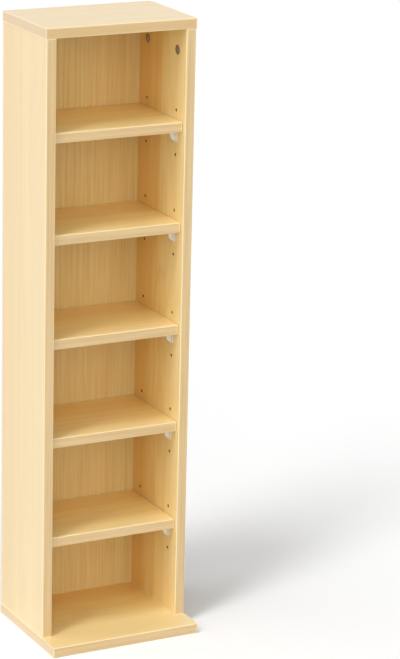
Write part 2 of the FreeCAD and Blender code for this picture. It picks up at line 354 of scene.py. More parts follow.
@dataclass(frozen=True)
class Pattern:
    """A soft random pattern, in cells per metre along and across one axis."""

    along: float
    across: float
    layers: float = 2.0
    rough: float = 0.5

    def cells(self, axis: int) -> tuple[float, ...]:
        """Give the cells per metre on each axis, for a pattern that runs along this one."""
        return tuple(self.along if place == axis else self.across for place in range(3))


@dataclass(frozen=True)
class Ramp:
    """A smooth change of a result, from start where a value is low to end where it is high."""

    low: float
    high: float
    start: float = 0.0
    end: float = 1.0


class Wiring:
    """A node tree that is being filled, with short ways to add what the looks need."""

    def __init__(self, tree: bpy.types.NodeTree) -> None:
        """Take over a node tree and empty it."""
        self.tree = tree
        self.tree.nodes.clear()

    def put(self, target: Socket, value: object) -> None:
        """Link a socket to an input, or set a plain value on it.

        Args:
            target: The input.
            value: A socket, a number or a colour.
        """
        if isinstance(value, bpy.types.NodeSocket):
            self.tree.links.new(value, target)
        elif isinstance(value, (int, float)):
            target.default_value = value
        elif target.type == "RGBA":
            target.default_value = (*value, 1.0)
        else:
            target.default_value = tuple(value)

    def add(self, kind: str, *values: object, **named: object) -> bpy.types.Node:
        """Add a node and fill its inputs.

        Args:
            kind: Type of the node, without ShaderNode in front.
            values: What goes into its first inputs, in order.
            named: What goes into other inputs, by name and with _ for a space.

        Returns:
            The new node.
        """
        node = self.tree.nodes.new(f"ShaderNode{kind}")
        for place, value in enumerate(values):
            self.put(node.inputs[place], value)
        for name, value in named.items():
            self.put(node.inputs[name.replace("_", " ")], value)
        return node

    def sums(self, operation: str, *values: object, kind: str = "Math") -> Socket:
        """Work out a number from others.

        Args:
            operation: Name of the maths operation.
            values: Numbers or sockets, in order.
            kind: Type of the maths node.

        Returns:
            The result.
        """
        node = self.add(kind, *values)
        node.operation = operation
        return node.outputs[0]

    def mixed(self, blend: Blend, share: object, first: object, second: object) -> Socket:
        """Blend two vectors or two colours.

        Args:
            blend: Which of the two it is.
            share: How much of the second shows.
            first: The first vector or colour.
            second: The second.

        Returns:
            The blend.
        """
        node = self.add("Mix", share)
        node.data_type = blend.name
        *places, result = blend.value
        for place, value in zip(places, (first, second)):
            self.put(node.inputs[place], value)
        return node.outputs[result]


class Recipe(Wiring):
    """One material's node tree, round a principled shader."""

    def __init__(self, name: str) -> None:
        """Start an empty material.

        Args:
            name: Name of the material.
        """
        self.material = bpy.data.materials.new(name)
        self.material.use_nodes = True
        super().__init__(self.material.node_tree)
        self.shader = self.add("BsdfPrincipled")
        self.add("OutputMaterial", Surface=self.shader.outputs["BSDF"])
        self.coordinates = self.add("TexCoord").outputs["Object"]

    def vectors(self, operation: str, *values: object) -> Socket:
        """Work out a vector from others."""
        return self.sums(operation, *values, kind="VectorMath")

    def axes(self, points: Socket) -> tuple[Socket, ...]:
        """Split a vector into its x, y and z."""
        return tuple(self.add("SeparateXYZ", points).outputs)

    def blend(self, share: object, first: object, second: object) -> Socket:
        """Blend two colours, with share as the part of the second that shows."""
        return self.mixed(Blend.RGBA, share, first, second)

    def ramp(self, value: Socket, ramp: Ramp, share: float = 1.0) -> Socket:
        """Turn one range of a number smoothly into another.

        Args:
            value: The number.
            ramp: The two ranges.
            share: How strongly the result shows.

        Returns:
            The result, kept between the ramp's start and end.
        """
        ends = (ramp.start * share, ramp.end * share)
        node = self.add("MapRange", value, ramp.low, ramp.high, *ends)
        node.interpolation_type = "SMOOTHSTEP"
        return node.outputs[0]

    def space(
        self, cells: Sequence[float], shift: Sequence[float], points: Socket | None = None
    ) -> Socket:
        """Stretch a pattern space, or else the object's own, into cells and shift it."""
        node = self.add("Mapping", Vector=points or self.coordinates, Scale=cells, Location=shift)
        return node.outputs["Vector"]

    def noise(
        self,
        pattern: Pattern,
        shift: Sequence[float],
        axis: int = Grain.UPRIGHT.value,
        points: Socket | None = None,
    ) -> Socket:
        """Add a soft random pattern.

        Args:
            pattern: How coarse and how rough it is.
            shift: Shift on each axis, in cells.
            axis: The axis that it runs along.
            points: Pattern space, the object's own if left out.

        Returns:
            The pattern, from 0 to 1 with its middle at 0.5.
        """
        space = self.space(pattern.cells(axis), shift, points)
        node = self.add("TexNoise", Vector=space, Scale=1.0)
        self.put(node.inputs["Detail"], pattern.layers)
        self.put(node.inputs["Roughness"], pattern.rough)
        return node.outputs["Fac"]

    def chips(self, cells: float, shift: Sequence[float]) -> Socket:
        """Add a pattern of flat chips, each of its own shade from 0 to 1."""
        node = self.add("TexVoronoi", Vector=self.space((cells, cells, cells), shift), Scale=1.0)
        return self.add("SeparateColor", node.outputs["Color"]).outputs["Red"]

    def relief(self, height: Socket, depth: float, strength: float) -> None:
        """Give the surface a fine relief, with its real depth in metres and how much shows."""
        node = self.add("Bump", Height=height, Distance=depth, Strength=strength)
        self.put(self.shader.inputs["Normal"], node.outputs["Normal"])

    def surface(self, **values: object) -> Material:
        """Set the shader's inputs and hand the material over.

        Args:
            values: Inputs by name, with _ for a space.

        Returns:
            The finished material.
        """
        for name, value in values.items():
            self.put(self.shader.inputs[name.replace("_", " ")], value)
        return self.material


@dataclass(frozen=True)
class FoilPrint:
    """Patterns of the printed grain and of the bare board, and how strongly each one shows."""

    wide: Pattern = Pattern(1.1, 26.0)
    flame: Pattern = Pattern(1.5, 11.0, 1.0)
    bands: Pattern = Pattern(1.4, 62.0, 4.0, 0.62)
    lines: Pattern = Pattern(4.0, 230.0, 4.0, 0.65)
    flecks: Pattern = Pattern(70.0, 1500.0, 1.0)
    dust: Pattern = Pattern(1900.0, 1900.0, 3.0, 0.7)
    chips: float = 420.0
    seed_shift: Triple = (3.1, 7.7, 5.3)
    rings: float = 84.0
    blushing: Ramp = Ramp(0.34, 0.66, 0.0, 0.9)
    ringed: Ramp = Ramp(0.0, 1.0, 0.0, 0.40)
    lively: Ramp = Ramp(0.42, 0.60, 0.3, 1.0)
    dark_bands: Ramp = Ramp(0.47, 0.66, 0.0, 0.75)
    pale_bands: Ramp = Ramp(0.50, 0.36, 0.0, 0.50)
    dark_lines: Ramp = Ramp(0.48, 0.70, 0.0, 0.65)
    pores: Ramp = Ramp(0.66, 0.78, 0.0, 0.22)
    edging_lines: Ramp = Ramp(0.40, 0.64)


@dataclass(frozen=True)
class FoilBoard:
    """Pale maple foil wrapped round a particle board, bare at its rear edge and in its holes.

    Painted shade darkens the foil towards the back of the tower, and painted light makes it
    paler towards the front, on the outer faces of the sides and on the top. Its arrises carry a
    painted highlight, and its holes painted shade.
    """

    grain: Grain
    low: Vector
    high: Vector
    seed: float
    figure: float = 0.8
    # Share of the painted shade towards the back of the tower
    depth: float = 0.75
    bare_behind: float = 0.05 * MM
    half_width: float = 122.0 * MM
    top: float = 965.0 * MM
    face: Colour = (0.900, 0.672, 0.250)
    streak: Colour = (0.740, 0.450, 0.135)
    blush: Colour = (0.870, 0.590, 0.205)
    pore: Colour = (0.520, 0.300, 0.105)
    # Painted shade towards the back of the tower
    deep: Colour = (0.760, 0.440, 0.115)
    # Pale bands of the print, and also the painted light towards the front
    pale: Colour = (0.880, 0.735, 0.400)
    # Painted light on the outer faces of the sides and on the top
    painted_outer_light: Colour = (0.760, 0.622, 0.402)
    edging: Colour = (0.615, 0.430, 0.225)
    edging_streak: Colour = (0.530, 0.340, 0.155)
    cut_end: Colour = (0.650, 0.490, 0.315)
    # Painted highlight along the rounded arrises
    arris_highlight: Colour = (0.930, 0.750, 0.450)
    core: Colour = (0.400, 0.245, 0.115)
    core_chip: Colour = (0.640, 0.450, 0.255)
    # Painted shade inside the holes
    painted_hole_shade: Colour = (0.100, 0.048, 0.018)
    ease: float = 2.0 * MM
    skin: float = 0.3 * MM
    # Depths over which the painted shade towards the back comes in
    painted_back_shade_span: tuple[float, float] = (28.0 * MM, 72.0 * MM)
    # Depths over which the painted light towards the front comes in
    painted_front_light_span: Ramp = Ramp(40.0 * MM, -58.0 * MM, 0.0, 0.55)
    end_strip: Ramp = Ramp(0.6 * MM, 0.2 * MM, 0.0, 0.8)
    # Distance from the faces within which the painted highlight on the arrises shows in full
    arris_highlight_from: float = 0.4 * MM
    # Share of the painted light on the outer faces
    painted_outer_light_share: float = 0.7
    edge_share: float = 0.75
    hole_depth: float = 0.25 * MM
    hole_clear: float = 1.25
    # Share of the painted shade inside the holes
    painted_hole_shade_share: float = 0.8
    sheen: Ramp = Ramp(0.3, 0.75, 0.36, 0.46)
    bare_rough: float = 0.45
    print_relief: float = 0.12
    relief_depth: float = 0.12 * MM
    relief_share: float = 0.5
    specular: float = 0.5
    gloss: float = 1.5
    coat: float = 0.4
    coat_rough: float = 0.32
    ink: FoilPrint = FoilPrint()

    @property
    def shift(self) -> tuple[float, ...]:
        """Shift the patterns, so that no two boards look alike."""
        return tuple(self.seed * step for step in self.ink.seed_shift)

    def face_distances(self, mix: Recipe) -> tuple[Socket, Socket, Socket]:
        """Measure how far a point lies inside the board's faces.

        Args:
            mix: The recipe to add to.

        Returns:
            The distance to the end faces, the least distance and the second least.
        """
        middle = (self.low + self.high) / 2
        half = (self.high - self.low) / 2
        from_middle = mix.vectors("ABSOLUTE", mix.vectors("SUBTRACT", mix.coordinates, middle))
        x, y, z = mix.axes(mix.vectors("SUBTRACT", half, from_middle))
        less, more = mix.sums("MINIMUM", x, y), mix.sums("MAXIMUM", x, y)
        second = mix.sums("MAXIMUM", less, mix.sums("MINIMUM", more, z))
        return x, mix.sums("MINIMUM", less, z), second

    def printed(self, mix: Recipe, from_end: Socket) -> tuple[Socket, Socket, Socket]:
        """Print the grain: broad bands, flame figure, fine lines and short pores.

        It runs along the board, and along the strips on its ends.

        Args:
            mix: The recipe to add to.
            from_end: Distance to the end faces.

        Returns:
            The colour, and the line and pore patterns for the relief.
        """
        ink, points = self.ink, mix.coordinates
        if self.grain is Grain.ACROSS:
            px, py, pz = mix.axes(points)
            swapped = mix.add("CombineXYZ", py, px, pz).outputs[0]
            at_end = mix.sums("LESS_THAN", from_end, self.skin)
            points = mix.mixed(Blend.VECTOR, at_end, points, swapped)
        wide, flame, bands, lines, flecks = (
            mix.noise(pattern, self.shift, self.grain.value, points)
            for pattern in (ink.wide, ink.flame, ink.bands, ink.lines, ink.flecks)
        )
        rings = mix.sums("SINE", mix.sums("MULTIPLY", flame, ink.rings))
        lively = mix.ramp(wide, ink.lively)
        dark_bands = mix.sums("MULTIPLY", lively, mix.ramp(bands, ink.dark_bands, self.figure))
        dark_lines = mix.sums("MULTIPLY", lively, mix.ramp(lines, ink.dark_lines, self.figure))
        colour = mix.blend(mix.ramp(wide, ink.blushing), self.face, self.blush)
        for share, over in (
            (mix.ramp(rings, ink.ringed, self.figure), self.streak),
            (dark_bands, self.streak),
            (mix.ramp(bands, ink.pale_bands, self.figure), self.pale),
            (dark_lines, self.streak),
            (mix.ramp(flecks, ink.pores), self.pore),
        ):
            colour = mix.blend(share, colour, over)
        return colour, lines, flecks

    def painted_light_and_edges(
        self, mix: Recipe, colour: Socket, lines: Socket, from_end: Socket, second: Socket
    ) -> Socket:
        """Paint light and shade on the foil and a highlight on its arrises, and colour its edges.

        Args:
            mix: The recipe to add to.
            colour: The printed colour.
            lines: The line pattern of the print.
            from_end: Distance to the end faces.
            second: The second least distance to the board's faces.

        Returns:
            The colour with painted light and shade.
        """
        px, py, pz = mix.axes(mix.coordinates)
        # Painted shade: the foil darkens towards the back of the tower
        colour = mix.blend(mix.ramp(py, Ramp(*self.painted_back_shade_span, 0.0, self.depth)), colour, self.deep)
        # Painted light: the outer faces of the sides and the top face are made paler
        out, above = (
            mix.ramp(place, Ramp(limit - self.ease, limit, 0.0, self.painted_outer_light_share))
            for place, limit in ((mix.sums("ABSOLUTE", px), self.half_width), (pz, self.top))
        )
        shown = mix.sums("MAXIMUM", out, above)
        # Painted light: the foil turns paler towards the front, except on the outer faces
        lit = mix.sums("MULTIPLY", mix.ramp(py, self.painted_front_light_span), mix.sums("SUBTRACT", 1.0, shown))
        colour = mix.blend(shown, mix.blend(lit, colour, self.pale), self.painted_outer_light)
        if self.grain is Grain.ACROSS:
            colour = mix.blend(mix.ramp(from_end, self.end_strip), colour, self.cut_end)
        front = Ramp(self.low.y + self.skin, self.low.y + self.ease, self.edge_share, 0.0)
        edging = mix.blend(mix.ramp(lines, self.ink.edging_lines), self.edging, self.edging_streak)
        colour = mix.blend(mix.ramp(py, front), colour, edging)
        # Painted highlight along the rounded arrises
        arris = Ramp(self.arris_highlight_from, self.ease, self.edge_share, 0.0)
        return mix.blend(mix.ramp(second, arris), colour, self.arris_highlight)

    def material(self, name: str) -> Material:
        """Mix the finish for one board.

        Args:
            name: Name of the material.

        Returns:
            The board's material.
        """
        mix = Recipe(name)
        from_end, nearest, second = self.face_distances(mix)
        colour, lines, flecks = self.printed(mix, from_end)
        colour = self.painted_light_and_edges(mix, colour, lines, from_end, second)
        in_hole = mix.sums(
            "MULTIPLY",
            mix.sums("GREATER_THAN", nearest, self.hole_depth),
            mix.sums("GREATER_THAN", second, self.hole_clear * self.ease),
        )
        depth = mix.axes(mix.coordinates)[1]
        behind = mix.sums("GREATER_THAN", depth, self.high.y - self.bare_behind)
        bare = mix.sums("MAXIMUM", in_hole, behind)
        covered = mix.sums("SUBTRACT", 1.0, bare)
        chips, dust = mix.chips(self.ink.chips, self.shift), mix.noise(self.ink.dust, self.shift)
        chipped = mix.sums("MULTIPLY", chips, dust)
        core = mix.blend(chipped, self.core, self.core_chip)
        # Painted shade: the bare core inside the holes is darkened
        core = mix.blend(mix.sums("MULTIPLY", in_hole, self.painted_hole_shade_share), core, self.painted_hole_shade)
        foil_relief = mix.sums("MULTIPLY", mix.sums("ADD", lines, flecks), self.print_relief)
        bare_relief = mix.sums("MULTIPLY", chipped, bare)
        mix.relief(mix.sums("ADD", foil_relief, bare_relief), self.relief_depth, self.relief_share)
        return mix.surface(
            Base_Color=mix.blend(bare, colour, core),
            Roughness=mix.sums(
                "ADD", mix.ramp(lines, self.sheen), mix.sums("MULTIPLY", bare, self.bare_rough)
            ),
            IOR=self.gloss,
            Specular_IOR_Level=mix.sums("MULTIPLY", covered, self.specular),
            Coat_Weight=mix.sums("MULTIPLY", covered, self.coat),
            Coat_Roughness=self.coat_rough,
        )


@dataclass(frozen=True)
class Mottled:
    """Two shades in soft blotches under a fine skin, as plastic, metal and bare wood have."""

    shades: tuple[Colour, Colour]
    blotches: Pattern
    blotch_shift: Triple
    blotching: Ramp
    sheen: Ramp
    skin: Pattern
    skin_shift: Triple
    skin_depth: float
    skin_share: float = 0.6
    flecks: tuple[Pattern, Triple, Ramp] | None = None
    others: tuple[tuple[str, object], ...] = ()

    def material(self, name: str) -> Material:
        """Mix the finish.

        Args:
            name: Name of the material.

        Returns:
            The material.
        """
        mix = Recipe(name)
        blotches = mix.noise(self.blotches, self.blotch_shift)
        colour = mix.blend(mix.ramp(blotches, self.blotching), *self.shades)
        if self.flecks:
            pattern, shift, flecking = self.flecks
            flecks = mix.ramp(mix.noise(pattern, shift), flecking)
            colour = mix.blend(flecks, colour, self.shades[1])
        mix.relief(mix.noise(self.skin, self.skin_shift), self.skin_depth, self.skin_share)
        sheen = mix.ramp(blotches, self.sheen)
        return mix.surface(Base_Color=colour, Roughness=sheen, **dict(self.others))


MILKY_PLASTIC = Mottled(
    shades=((0.680, 0.620, 0.520), (0.765, 0.705, 0.610)),
    blotches=Pattern(190.0, 190.0),
    blotch_shift=(2.0, 5.0, 1.0),
    blotching=Ramp(0.3, 0.7),
    sheen=Ramp(0.3, 0.7, 0.32, 0.44),
    skin=Pattern(2600.0, 2600.0),
    skin_shift=(0.0, 3.0, 7.0),
    skin_depth=0.03 * MM,
    skin_share=0.5,
    others=(
        ("IOR", 1.5),
        ("Subsurface_Weight", 0.4),
        ("Subsurface_Radius", (1.0, 0.95, 0.85)),
        ("Subsurface_Scale", 2.0 * MM),
    ),
)
CAST_METAL = Mottled(
    shades=((0.480, 0.440, 0.380), (0.130, 0.100, 0.075)),
    blotches=Pattern(310.0, 310.0, 3.0, 0.6),
    blotch_shift=(4.0, 1.0, 6.0),
    blotching=Ramp(0.38, 0.68),
    sheen=Ramp(0.35, 0.7, 0.34, 0.50),
    skin=Pattern(1500.0, 1500.0, 3.0),
    skin_shift=(1.0, 8.0, 2.0),
    skin_depth=0.05 * MM,
    others=(("Metallic", 0.9),),
)
ZINC_PLATE = replace(
    CAST_METAL,
    shades=((0.560, 0.560, 0.545), (0.440, 0.440, 0.430)),
    sheen=Ramp(0.35, 0.7, 0.26, 0.42),
    skin=Pattern(2600.0, 2600.0, 3.0),
    skin_depth=0.02 * MM,
    others=(("Metallic", 1.0),),
)
NAIL_WIRE = replace(
    ZINC_PLATE,
    shades=((0.500, 0.495, 0.480), (0.360, 0.350, 0.335)),
    sheen=CAST_METAL.sheen,
    skin=Pattern(2200.0, 2200.0, 3.0),
    skin_depth=0.03 * MM,
)
BARE_BEECH = Mottled(
    shades=((0.600, 0.410, 0.230), (0.430, 0.255, 0.125)),
    blotches=Pattern(60.0, 900.0, 3.0, 0.6),
    blotch_shift=(2.0, 2.0, 2.0),
    blotching=Ramp(0.35, 0.7, 0.0, 0.6),
    sheen=Ramp(0.3, 0.7, 0.62, 0.75),
    skin=Pattern(60.0, 900.0, 3.0, 0.6),
    skin_shift=(2.0, 2.0, 2.0),
    skin_depth=0.08 * MM,
    flecks=(Pattern(260.0, 1500.0, 1.0), (6.0, 1.0, 3.0), Ramp(0.62, 0.74, 0.0, 0.6)),
)


# The sub-assemblies


@dataclass
class Boards:
    """The carcass boards, the back panel and the shelves, which keep their CAD meshes."""

    across: tuple[str, ...] = ("top_panel", "base_panel")
    upright: tuple[str, ...] = ("left_side", "right_side", "back_panel")

    # Level boards get a fainter figure and less painted shade towards the back
    LEVEL = {"figure": 0.45, "depth": 0.35}
    APART = {
        # The base gets more painted shade towards the back
        "base_panel": {"depth": 0.7},
        "top_panel": {"edging": (0.578, 0.392, 0.189)},
        "back_panel": {
            "bare_behind": 2.2 * MM,
            "face": (0.990, 0.840, 0.205),
            "blush": (0.980, 0.700, 0.160),
            "streak": (0.840, 0.510, 0.090),
            "pale": (0.995, 0.900, 0.300),
            "core": (0.430, 0.275, 0.140),
            "core_chip": (0.520, 0.345, 0.185),
            "figure": 0.5,
            "depth": 0.0,
            "gloss": 1.38,
            "coat": 0.0,
        },
    }

    def dress(self) -> None:
        """Give each board its own foil, with the grain along its length."""
        shelves = tuple(f"shelf_{number}" for number in range(1, SHELF_COUNT + 1))
        for seed, node in enumerate(self.across + shelves + self.upright, start=1):
            grain = Grain.UPRIGHT if node in self.upright else Grain.ACROSS
            own = (self.LEVEL if grain is Grain.ACROSS else {}) | self.APART.get(node, {})
            finish = FoilBoard(grain, *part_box(node), float(seed), **own)
            Bench.dress(node, finish.material(f"foil_{node}"))


@dataclass
class ShelfSupports:
    """Twenty moulded supports that plug into the sides and carry the shelves."""

    width: float = 11.0 * MM
    reach: float = 12.0 * MM
    drop: float = 20.0 * MM
    ledge: float = 2.6 * MM
    ledge_corner: float = 3.0 * MM
    corner_faces: int = 8
    pad_edge: float = 1.1 * MM
    pad_depth: float = 0.2 * MM
    plate: float = 2.0 * MM
    plate_sides: int = 48
    rib: float = 6.0 * MM
    rib_inset: float = 1.2 * MM
    rib_steps: int = 14
    peg_radius: float = 2.3 * MM
    peg_length: float = 8.5 * MM
    peg_drop: float = 4.5 * MM
    peg_chamfer: float = 0.6 * MM
    ridge_reach: float = 2.45 * MM
    ridge_radius: float = 0.35 * MM
    ridge_start: float = 1.4 * MM
    ridge_sides: int = 10
    mark_radius: float = 1.1 * MM
    mark_depth: float = 0.15 * MM
    mark_rise: float = 2.2 * MM
    mark_sides: int = 24
    softness: float = 0.3 * MM
    skin: float = 0.03 * MM
    finish: Mottled = MILKY_PLASTIC

    def form_ledge(self) -> Piece:
        """Model the ledge that carries the shelf, with rounded outer corners.

        Returns:
            The ledge, its top at the origin's height.
        """
        half = self.width / 2
        ledge = Bench.block("ledge", (self.skin, -half, -self.ledge), (self.reach, half, 0))
        with Bench.editing(ledge, Pick.EDGES):
            Bench.select(
                Pick.EDGES,
                lambda a, b: abs(a.z - b.z) > self.ledge / 2 and min(a.x, b.x) > self.reach / 2,
            )
            bpy.ops.mesh.bevel(offset=self.ledge_corner, segments=self.corner_faces, affect="EDGES")
        Bench.soften(ledge, self.softness)
        with Bench.editing(ledge):
            Bench.select(Pick.FACES, lambda middle, normal: middle.z > -NEAR)
            bpy.ops.mesh.inset(thickness=self.pad_edge)
            bpy.ops.mesh.inset(thickness=self.pad_depth, depth=-self.pad_depth)
        return ledge

    def form_plate(self) -> Piece:
        """Model the plate that lies on the side, with a round lower end.

        Returns:
            The plate.
        """
        half = self.width / 2 - self.skin
        straight = self.drop - half
        start, end = (0, 0, -straight), (self.plate, 0, -straight)
        plate = Bench.bar("plate", half, start, end, sides=self.plate_sides)
        with Bench.editing(plate):
            bpy.ops.mesh.select_all(action="SELECT")
            bpy.ops.mesh.bisect(plane_co=start, plane_no=(0, 0, 1), use_fill=True, clear_outer=True)
            bpy.ops.mesh.select_all(action="DESELECT")
            Bench.select(Pick.FACES, lambda middle, normal: normal.z > SQUARE_ON)
            Bench.extrude((0, 0, straight - self.ledge / 2))
        Bench.soften(plate, self.softness)
        return plate

    def form_rib(self) -> Piece:
        """Model the rib under the ledge, whose lower edge curves down to the plate's toe.

        Returns:
            The rib.
        """
        half = self.rib / 2
        inner, outer = self.plate / 2, self.reach - self.rib_inset
        rib = Bench.block("rib", (inner, -half, -2 * self.ledge), (outer, half, -self.ledge / 2))
        with Bench.editing(rib, Pick.EDGES):
            Bench.select(Pick.EDGES, lambda a, b: abs(a.x - b.x) > self.reach / 2)
            bpy.ops.mesh.subdivide(number_cuts=self.rib_steps - 1)
        fall = self.drop - half - self.ledge
        for step in range(self.rib_steps):
            share = step / self.rib_steps
            place = inner + (outer - inner) * share
            curve = fall * math.sqrt(1 - share**2)
            with Bench.editing(rib, Pick.POINTS):
                Bench.select(
                    Pick.POINTS,
                    lambda at, place=place: abs(at.x - place) < NEAR and at.z < -1.5 * self.ledge,
                )
                bpy.ops.transform.translate(value=(0, 0, self.ledge - curve))
        Bench.soften(rib, self.softness)
        return rib

    def form_peg(self) -> Piece:
        """Model the peg, with a chamfered tip and four crush ribs.

        Returns:
            The peg.
        """
        tip = Vector((-self.peg_length, 0, -self.peg_drop))
        root = Vector((self.plate / 2, 0, -self.peg_drop))
        peg = Bench.bar("peg", self.peg_radius, tip, root)
        with Bench.editing(peg, Pick.EDGES):
            Bench.select(Pick.EDGES, lambda a, b: max(a.x, b.x) < NEAR - self.peg_length)
            bpy.ops.mesh.bevel(offset=self.peg_chamfer, segments=Bench.STEPS, affect="EDGES")
        start = tip + Vector((self.ridge_start, 0, 0))
        for degrees in (45, 135, 225, 315):
            angle = math.radians(degrees)
            out = Vector((0, math.cos(angle), math.sin(angle)))
            lift = out * (self.ridge_reach - self.ridge_radius)
            ends = (start + lift, root + lift)
            Bench.combine(peg, Bench.bar("ridge", self.ridge_radius, *ends, self.ridge_sides))
        return peg

    def form(self) -> Piece:
        """Model one support for the left side, its ledge top at the origin.

        Returns:
            The finished form.
        """
        support = self.form_ledge()
        for part in (self.form_plate(), self.form_rib(), self.form_peg()):
            Bench.combine(support, part)
        start = Vector((self.plate - self.mark_depth, 0, self.mark_rise - self.drop))
        end = start + Vector((self.mark_depth + MM, 0, 0))
        mark = Bench.bar("mark", self.mark_radius, start, end, self.mark_sides)
        Bench.combine(support, mark, "DIFFERENCE")
        Bench.tidy(support)
        support.name = "support_form"
        return support

    def build(self) -> None:
        """Copy the form to its twenty places and dress each copy."""
        form = self.form()
        plastic = self.finish.material("milky_plastic")
        for shelf in range(1, SHELF_COUNT + 1):
            for row, hand in CORNERS:
                node = f"support_{shelf}_{row}_{hand}"
                low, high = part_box(node)
                wall = low.x + self.peg_length if hand == "left" else high.x - self.peg_length
                place = Vector((wall, (low.y + high.y) / 2, high.z))
                piece = Bench.copy(form, f"{node}_moulding", hand == "right", place)
                piece.data.materials.append(plastic)
                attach(piece, node)
                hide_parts(node)
                LOG.info("built %s", piece.name)
        bpy.data.objects.remove(form)


@dataclass
class CamLocks:
    """Four cast cam locks and the bolts that they pull."""

    rim: float = 0.9 * MM
    dish: float = 1.3 * MM
    dish_slope: float = 2.4
    dish_sides: int = 64
    arrow: float = 1.15 * MM
    arrow_inset: float = 2.6 * MM
    arrow_depth: float = 0.3 * MM
    arrow_shape: Triple = (1.0, 1.1, 0.8)
    finish: Mottled = CAST_METAL
    bolt_finish: Mottled = ZINC_PLATE

    def form(self) -> Piece:
        """Cut a dished face and an arrow mark into a copy of the CAD cam.

        Returns:
            The cam, facing -X with the middle of its face at the origin.
        """
        node = "cam_lock_front_right"
        low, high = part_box(node)
        face = Vector((low.x, (low.y + high.y) / 2, (low.z + high.z) / 2))
        radius = (high.y - low.y) / 2
        cam = Bench.cad_copy(node, "cam_form")
        cam.location = -face
        Bench.settle(cam)
        middle, flare = radius - self.rim, self.dish_slope * self.dish
        start, end = (self.dish, 0, 0), (-self.dish, 0, 0)
        dish = Bench.bar("dish", middle - flare, start, end, self.dish_sides, middle + flare)
        Bench.combine(cam, dish, "DIFFERENCE")
        height = radius - self.arrow_inset
        start, end = (self.dish + self.arrow_depth, 0, height), (-self.dish, 0, height)
        arrow = Bench.bar("arrow", self.arrow, start, end, sides=3)
        with Bench.editing(arrow):
            bpy.ops.mesh.select_all(action="SELECT")
            bpy.ops.transform.resize(value=self.arrow_shape, center_override=(0, 0, height))
        Bench.combine(cam, arrow, "DIFFERENCE")
        Bench.tidy(cam)
        return cam

    def build(self) -> None:
        """Copy the cam to its four places and dress the cams and bolts."""
        form = self.form()
        cast = self.finish.material("cast_metal")
        plate = self.bolt_finish.material("zinc_bolt")
        for row, hand in CORNERS:
            node = f"cam_lock_{row}_{hand}"
            low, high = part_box(node)
            face = high.x if hand == "left" else low.x
            place = Vector((face, (low.y + high.y) / 2, (low.z + high.z) / 2))
            piece = Bench.copy(form, f"{node}_casting", hand == "left", place)
            piece.data.materials.append(cast)
            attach(piece, node)
            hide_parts(node)
            LOG.info("built %s", piece.name)
            Bench.dress(f"cam_bolt_{row}_{hand}", plate)
        bpy.data.objects.remove(form)


